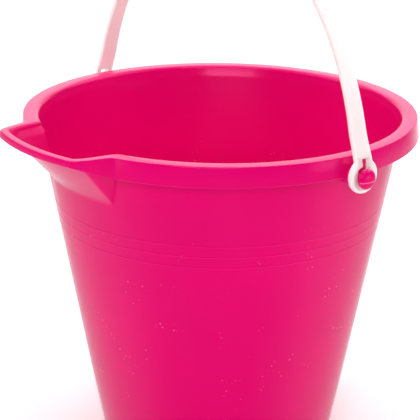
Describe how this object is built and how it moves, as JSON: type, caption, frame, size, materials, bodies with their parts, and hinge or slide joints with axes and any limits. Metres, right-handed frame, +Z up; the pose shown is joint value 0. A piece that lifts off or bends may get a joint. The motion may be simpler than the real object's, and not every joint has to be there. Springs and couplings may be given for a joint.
{
  "type": "sand bucket",
  "caption": "Tapered moulded sand bucket with a pouring spout, a flat skirted rim and a swinging strap handle on two studs.",
  "frame": {"origin": "on the pail's axis, at the level of the ground it stands on", "axes": "+Z up along the pail's axis, -X towards the spout, the studs along +Y and -Y"},
  "size_m": [0.2166, 0.2244, 0.2702],
  "materials": {
    "pail_plastic": "glossy moulded polypropylene, magenta pink",
    "handle_plastic": "satin, slightly translucent white polypropylene"
  },
  "bodies": {
    "pail_body": {"pail": "pail_plastic"},
    "handle_body": {"handle": "handle_plastic"}
  },
  "joints": [
    {"name": "handle_swing", "type": "hinge", "parent": "pail_body", "child": "handle_body", "pos_m": [0, 0, 0.1657], "axis": [0, 1, 0], "range_deg": [-82, 120]}
  ]
}
